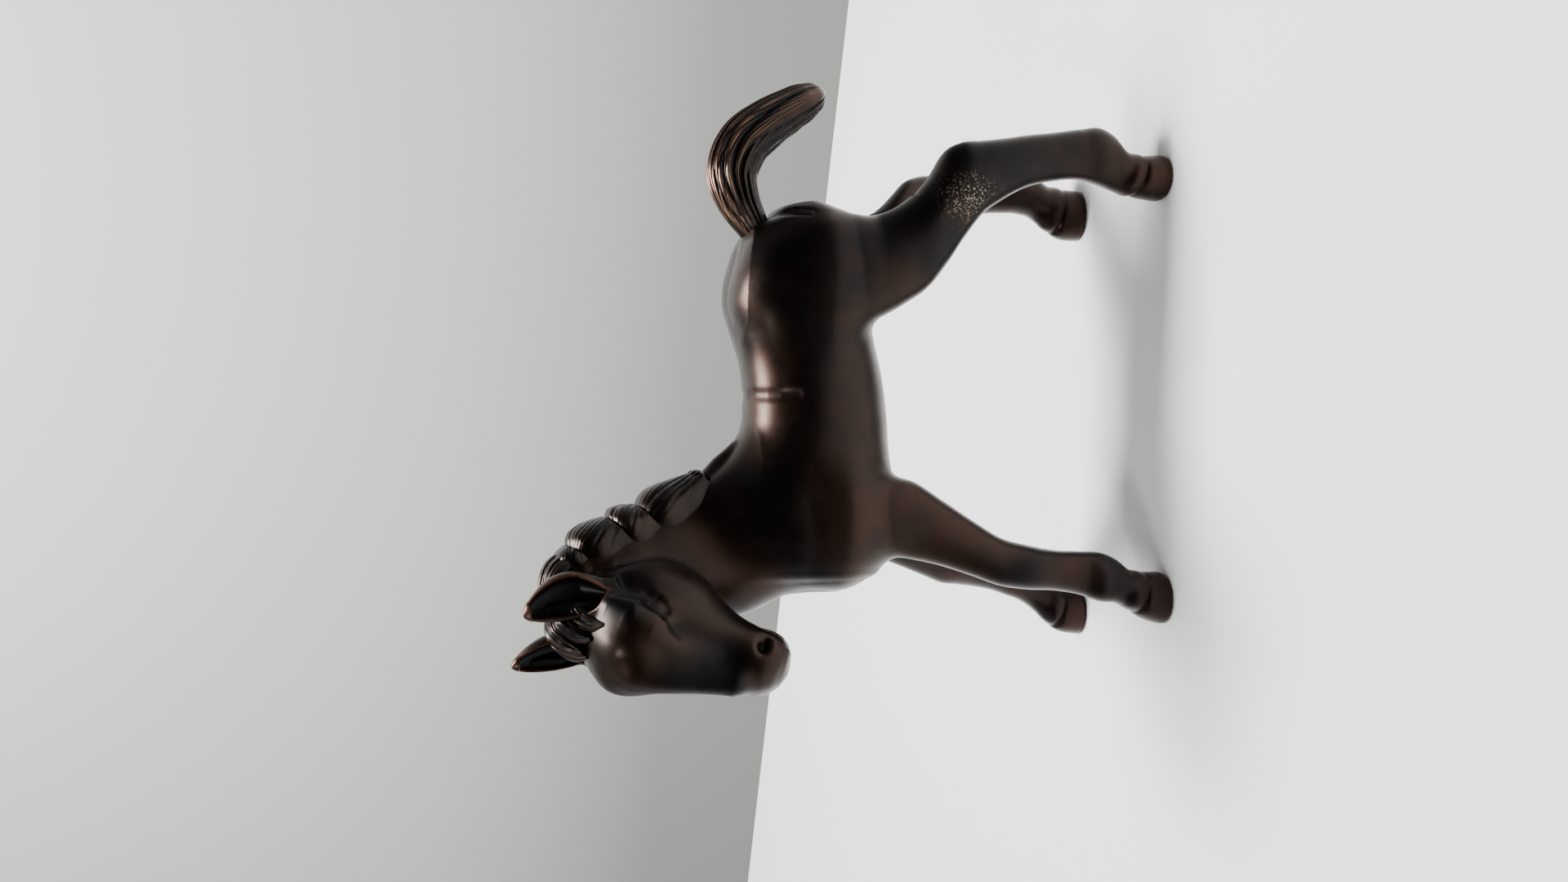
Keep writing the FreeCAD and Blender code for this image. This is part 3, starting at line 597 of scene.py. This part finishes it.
body_bronze = bronze("patinated_bronze",
                     ((0.0046, 0.0039, 0.0036), (0.023, 0.0104, 0.0064)), (0.20, 0.09, 0.05), 0.6, 0.35)
hair_bronze = bronze("chased_hair_bronze",
                     ((0.0045, 0.0043, 0.0041), (0.016, 0.0100, 0.0074)), (0.24, 0.125, 0.08), 0.75, 0.27)
pin_bronze = bronze("joint_pin_bronze", ((0.05, 0.03, 0.02), (0.12, 0.07, 0.04)), (0.3, 0.17, 0.09), 0.0)

# ---- the cast sections ----
neck_normal = np.array([-np.sin(NECK_SEAM_TILT), 0.0, np.cos(NECK_SEAM_TILT)])
TUCK = 1.2                    # how far a section runs on under its neighbour's edge


def above_neck_seam(x, y, z):
    """Distance above the tilted plane where the neck sits on the body."""
    return (x - NECK_SEAM_AT[0]) * neck_normal[0] + (z - NECK_SEAM_AT[2]) * neck_normal[2]


def outer_side(f, g):
    """The section on the far side of a seam, with a slightly thinner tongue under the near one's edge."""
    return np.maximum(f + 0.01 + 0.15 * np.maximum(-g - 0.35, 0.0), -g - TUCK)


def torso_solid(x, y, z):
    """The foal below the neck seam and above the leg seams."""
    f = flesh(x, y, z, ("barrel", "neck", "left_foreleg", "right_foreleg", "left_hindleg", "right_hindleg"))
    return np.maximum(np.maximum(f, SEAM_Z - 0.1 - z), above_neck_seam(x, y, z) - 0.1)


def head_side(x, y, z):
    """Positive towards the head, negative in the neck: the seam behind the jaw."""
    s, n, l = head_coords(x, y, z)
    return n + 7.5 + 0.25 * s


def neck_skin(x, y, z):
    """The uncut body, neck and head, which the neck is cut from."""
    return flesh(x, y, z, ("barrel", "neck", "head"))


def neck_solid(x, y, z):
    """What of that skin lies above the neck seam and behind the jaw seam."""
    return np.maximum(outer_side(neck_skin(x, y, z), above_neck_seam(x, y, z)), head_side(x, y, z) - 0.1)


def crown_skin(x, y, z):
    """The uncut neck and head with both ears on."""
    return ears_on(flesh(x, y, z, ("neck", "head")), x, y, z)


def ear_side(name, x, y, z):
    """Positive in the ear, beyond a shell just off the skull and nearer to this ear than the other."""
    this = ear(name, x, y, z)[0]
    return np.minimum(head(x, y, z) - 0.9, 1.6 - this)


def head_solid(x, y, z):
    """What of the crown lies before the jaw seam, less the ears."""
    f = outer_side(crown_skin(x, y, z), head_side(x, y, z))
    for name in EARS:
        f = np.maximum(f, ear_side(name, x, y, z))
    return f


def ear_hollow_shade(x, y, z):
    """Painted shade: 1 deep inside either ear's hollow, fading out at its rim."""
    deep = np.zeros(np.shape(x))
    for name in EARS:
        leaf, hollow = ear(name, x, y, z)
        deep = np.maximum(deep, np.clip((0.35 - hollow) / 0.3, 0, 1) * np.clip((-leaf - 0.35) / 0.5, 0, 1))
    return deep


def nostril_and_ear_shade(x, y, z):
    """Painted shade: 1 inside the nostrils and the ears' hollows."""
    s, n, l = head_coords(x, y, z)
    inside = nostril(s, n + faded(s, 6.0, 20.0, 0.0, 1.1), np.abs(l))
    return np.maximum(np.clip((0.1 - inside) / 0.2, 0, 1), ear_hollow_shade(x, y, z))


body_parts = ("barrel", "neck") + tuple(leg_at)
cast_piece("torso", torso_solid, lambda x, y, z: flesh(x, y, z, body_parts), (-39, -16, 44), (37, 16, 88), 0.4)
cast_piece("neck", neck_solid, neck_skin, (-44, -14, 72), (-9, 13, 114), 0.4)
cast_piece("head", head_solid, crown_skin, (-58, -29, 70), (-26, 8, 116), 0.28, nostril_and_ear_shade)
for name, (root, tip, _, _) in EARS.items():
    ends = np.array([head_point(*root), head_point(*tip)])

    def ear_skin(x, y, z, name=name):
        """The uncut head with this one ear on."""
        return ears_on(flesh(x, y, z, ("head",)), x, y, z, (name,))

    def ear_solid(x, y, z, name=name, skin=ear_skin):
        """What of it is this ear."""
        return outer_side(skin(x, y, z), ear_side(name, x, y, z))
    cast_piece(name, ear_solid, ear_skin, ends.min(0) - 5.5, ends.max(0) + 5.5, 0.22, ear_hollow_shade)
tables = {"left_foreleg": LEFT_FORELEG, "right_foreleg": RIGHT_FORELEG,
          "left_hindleg": LEFT_HINDLEG, "right_hindleg": RIGHT_HINDLEG}
for name in leg_at:
    def leg_skin(x, y, z, name=name):
        """The uncut body with this one leg."""
        return flesh(x, y, z, ("barrel", name))

    def leg_solid(x, y, z, skin=leg_skin):
        """What of it lies below the leg seam."""
        return outer_side(skin(x, y, z), SEAM_Z - z)
    span = np.array([r for r in tables[name] if r[0] < 50])
    low = (span[:, 1].min() - 1.5, (span[:, 3] - span[:, 4]).min() - 1.5, -1.0)
    high = (span[:, 2].max() + 1.5, (span[:, 3] + span[:, 4]).max() + 1.5, SEAM_Z + 2.0)
    cast_piece(name, leg_solid, leg_skin, low, high, 0.32)

# ---- the hair ----
def furrows(theta, t, count, seed):
    """Long hollows between strands: |sin| of the angle, bent by slow waves along the hair, at two widths."""
    bend = 0.22 * np.sin(2 * theta + 3.1 * t + seed) + 0.16 * np.sin(3 * theta - 4.3 * t + 2 * seed) + 0.30 * t
    wide = np.abs(np.sin((theta + bend) * count / 2 + 0.7 * np.sin(4.7 * t + seed)))**0.8
    fine = np.abs(np.sin((theta - 0.6 * bend) * count * 1.17 + 1.1 * np.sin(6.1 * t + 1.7 * theta + seed)))**0.8
    keep = 0.62 + 0.38 * np.sin(3 * theta + 5.2 * t + 1.3 * seed)
    return wide * keep + (1 - keep), fine


def hair_mesh(node, surfaces):
    """One mesh from closed grids, each with its two pole points, its rubbed and highlighted edges and the painted
    shade in its hollows.
    """
    points, faces, worn, hollow = [], [], [], []
    for grid, poles, rubbed, dark in surfaces:
        start = sum(len(p) for p in points)
        faces += [[v + start for v in face] for face in tube_faces(*grid.shape[:2])]
        points += [grid.reshape(-1, 3), poles]
        worn += [rubbed.ravel(), np.zeros(2)]
        hollow += [dark.ravel(), np.zeros(2)]
    points = np.vstack(points)
    make_piece(node + "_hair", points, faces, hair_bronze, node,
               {"worn": np.concatenate(worn), "hollow": np.concatenate(hollow),
                "scuffed": np.zeros(len(points))})


def lock_of(rows, across, count, seed, root_share, shine=1.0):
    """An oval section carried along a curve; its radius dips in furrows that run the length of the hair.
    Rows hold the curve's points, the half thickness in the curve's plane and the half width across it."""
    rows = np.array(rows, dtype=float)
    length = np.r_[0, np.cumsum(np.linalg.norm(np.diff(rows[:, :3], axis=0), axis=1))]
    s, out = dense(np.column_stack([length, rows]), 260)
    middle, thick, wide = out[:, 1:4], out[:, 4], out[:, 5]
    path = np.gradient(middle, axis=0)
    path /= np.linalg.norm(path, axis=1)[:, None]
    across = across - path * (path @ across)[:, None]
    across /= np.linalg.norm(across, axis=1)[:, None]
    rise = np.cross(path, across)
    theta = np.linspace(0, 2 * np.pi, 240, endpoint=False)[None]
    t = (s / s[-1])[:, None]
    wave, fine = furrows(theta, t, count, seed)
    depth = np.interp(t, [0, root_share, 3 * root_share, 0.93, 1], [0.1, 0.5, 1, 1, 0.3])
    swell = 1 + depth * (0.17 * (wave - 0.75) + 0.05 * (fine - 0.7))
    grid = (middle[:, None] + across[:, None] * (wide[:, None] * swell * np.cos(theta))[..., None]
            + rise[:, None] * (thick[:, None] * swell * np.sin(theta))[..., None])
    # painted highlight: the rubbed colour grows towards the top of each lock, over the rubbed ridges
    top_highlight = np.clip(0.55 + 0.9 * (grid[..., 2] - middle[:, 2:3]) / np.maximum(thick[:, None], 0.1), 0.12, 1)
    worn = np.clip(depth * (wave - 0.80) * 4, 0, 1) * top_highlight**2 * shine
    # painted shade in the furrows between strands
    hollow = np.clip(depth * (0.72 - wave) * 3.0 + depth * (0.3 - fine), 0, 1)
    return grid, middle[[0, -1]], worn, hollow


NEARER = np.array([0.0, -1.0, 0.0])
hair_mesh("tail", [lock_of(TAIL, NEARER, 15, 0.4, 0.08)])
tuft = []
for down, out, left in FORELOCK_LOCKS:
    rows = [tuple(head_point(r[0] + down, r[1] + out, r[2] * (1 + down) + left)) + r[3:] for r in FORELOCK]
    tuft.append(lock_of(rows, LEFTWARD, 7, 1.9 + left, 0.1, 0.25))
hair_mesh("forelock", tuft)


def mane_blanket():
    """A blanket over the neck's crest: the neck's own section, lifted by each lock. A lock rises sharply
    where it starts and sinks to its end; its edge is scalloped, and furrows run aslant down it."""
    t = np.linspace(0, 1, 420)[:, None]
    q = MANE_TOP + (MANE_END - MANE_TOP) * t
    throat, crest, middle, half = [c[:, None] for c in neck_at(q[:, 0])]
    turn = np.linspace(-1, 1, 200)[None]
    slid = t - 0.075 * np.abs(turn)**1.5
    starts = np.array(MANE_LOCKS)
    lock = np.clip(np.searchsorted(starts, slid.ravel(), side="right") - 1, 0, len(starts) - 2).reshape(slid.shape)
    phase = np.clip((slid - starts[lock]) / (starts[lock + 1] - starts[lock]), 0, 1)
    lift = np.array(MANE_LIFT)[lock]
    tall = (1 - np.exp(-phase / 0.12)) * (1 - 0.55 * phase**1.6)
    reach = np.radians(55 + 5 * np.sin(5 * t) + 5 * np.sin(np.pi * phase) * np.abs(turn) + 1.5 * np.sin(31 * t))
    phi = turn * reach * (1 - 0.55 * np.clip((t - 0.72) / 0.28, 0, 1)**1.5)
    wave, fine = furrows(2.2 * turn + 1.1 * phase * np.sign(turn), t, 11, 0.7)
    edge = np.clip((1 - np.abs(turn)) / 0.42, 0, 1)
    edge = edge * edge * (3 - 2 * edge)
    ends = np.clip(np.minimum(t / 0.04, (1 - t) / 0.03), 0, 1)
    mid = np.cos(turn * 1.5)
    comb = (0.22 * (wave - 0.7) + 0.07 * (fine - 0.6)) * (0.35 + 0.65 * mid)
    thickness = (lift * (tall * mid + 0.42 * (1 - mid) * (1 - t)) + 0.30 + comb) * edge * ends - 0.12
    rb, cb = (crest - throat) / 2, (crest + throat) / 2
    b, w = cb + rb * np.cos(phi), middle + half * np.sin(phi)
    base = np.stack([NECK_AT[0] + b * np.cos(NECK_LEAN) - q * np.sin(NECK_LEAN), w,
                     NECK_AT[2] + b * np.sin(NECK_LEAN) + q * np.cos(NECK_LEAN)], -1)
    skin = lambda x, y, z: flesh(x, y, z, ("barrel", "neck"))
    flat = settle(skin, base.reshape(-1, 3), 6.0)
    _, normal, _ = slope_of(skin, flat, 0.4)
    normal /= np.linalg.norm(normal, axis=1)[:, None]
    flat, normal = flat.reshape(base.shape), normal.reshape(base.shape)
    outside, inside = flat + normal * thickness[..., None], flat - normal * 1.6
    grid = np.concatenate([outside, inside[:, ::-1]], 1)[:, ::-1]
    worn = np.clip((wave - 0.82) * 3, 0, 1) * np.clip(0.22 - 0.4 * phase, 0.03, 1) * edge
    # painted shade in the furrows and in the notch where each lock starts
    hollow = np.clip((0.62 - wave) * 2.5 + (0.28 - fine), 0, 1) * edge
    hollow = np.maximum(hollow, np.clip(1 - phase / 0.05, 0, 1) * 0.7 * (lock > 0) * edge)
    zero = np.zeros_like(worn)
    worn, hollow = [np.concatenate([v, zero], 1)[:, ::-1] for v in (worn, hollow)]
    return grid, grid[[0, -1]].mean(1), worn, hollow


hair_mesh("mane", [mane_blanket(), lock_of(POLL_LOCK, NEARER, 12, 2.6, 0.1, 0.2)])

for name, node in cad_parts.items():
    if "pin" in name or "plug" in name:
        node.data.materials.clear()
        node.data.materials.append(pin_bronze if "pin" in name else body_bronze)

# ---- stage, light and camera ----
def sheet(name, corners, colour, roughness):
    """A flat four-cornered sheet of one plain colour."""
    mesh = bpy.data.meshes.new(name)
    mesh.from_pydata(corners, [], [(0, 1, 2, 3)])
    flat = bpy.data.objects.new(name, mesh)
    bpy.context.scene.collection.objects.link(flat)
    paint = bpy.data.materials.new(name + "_paint")
    paint.use_nodes = True
    paint.node_tree.nodes["Principled BSDF"].inputs["Base Color"].default_value = (*colour, 1)
    paint.node_tree.nodes["Principled BSDF"].inputs["Roughness"].default_value = roughness
    mesh.materials.append(paint)


# the table's far edge runs aslant behind the foal, and the wall stands a little beyond it
sheet("floor", [(-1.5, -1.5, 0), (1.5, -1.5, 0), (1.5, -0.333, 0), (-1.5, 0.719, 0)], (0.86, 0.86, 0.855), 0.6)
sheet("wall", [(-1.6, 0.90, -0.5), (1.6, -0.22, -0.5), (1.6, -0.22, 1.2), (-1.6, 0.90, 1.2)], (0.60, 0.61, 0.59), 0.9)


def soft_light(name, at, aim, size, power):
    """A white rectangular lamp at one place, turned to face another."""
    data = bpy.data.lights.new(name, "AREA")
    data.shape = "RECTANGLE"
    data.size, data.size_y = size
    data.energy = power
    light = bpy.data.objects.new(name, data)
    bpy.context.scene.collection.objects.link(light)
    light.location = at
    direction = np.array(aim) - np.array(at)
    light.rotation_euler = Vector(direction).to_track_quat("-Z", "Y").to_euler()


soft_light("overhead", (0.015, 0.085, 0.60), (0, 0, 0.05), (0.24, 0.15), 10.0)
soft_light("left_front", (-0.40, -0.30, 0.50), (0, 0, 0.07), (0.12, 0.12), 1.2)
world = bpy.data.worlds.new("soft_room")
bpy.context.scene.world = world
world.use_nodes = True
tree = world.node_tree
facing = tree.nodes.new("ShaderNodeSeparateXYZ")
tree.links.new(tree.nodes.new("ShaderNodeTexCoord").outputs["Generated"], facing.inputs[0])
fade = tree.nodes.new("ShaderNodeValToRGB")
stops = fade.color_ramp.elements
stops[0].position, stops[0].color = 0.12, (0.030, 0.028, 0.026, 1)
stops[1].position, stops[1].color = 0.60, (0.88, 0.89, 0.90, 1)
half_way = stops.new(0.36)
half_way.color = (0.16, 0.155, 0.15, 1)
shift = tree.nodes.new("ShaderNodeMapRange")
shift.inputs["From Min"].default_value, shift.inputs["From Max"].default_value = -1.0, 1.0
tree.links.new(facing.outputs["Y"], shift.inputs["Value"])
tree.links.new(shift.outputs["Result"], fade.inputs["Fac"])
tree.links.new(fade.outputs["Color"], tree.nodes["Background"].inputs["Color"])
tree.nodes["Background"].inputs["Strength"].default_value = 1.0

camera_data = bpy.data.cameras.new("camera")
camera_data.lens = 31.875
camera_data.sensor_width = 36.0
camera_data.clip_start = 0.01
camera = bpy.data.objects.new("camera", camera_data)
bpy.context.scene.collection.objects.link(camera)
pitch = np.radians(18.5)
down_axis = (0.0, -np.sin(pitch), -np.cos(pitch))
side_axis = (1.0, 0.0, 0.0)
back_axis = (0.0, -np.cos(pitch), np.sin(pitch))
stand = (-0.0115, -0.2434, 0.1525)
columns = [list(row) for row in zip(down_axis, side_axis, back_axis, stand)]
camera.matrix_world = Matrix(columns + [[0, 0, 0, 1]])
bpy.context.scene.camera = camera
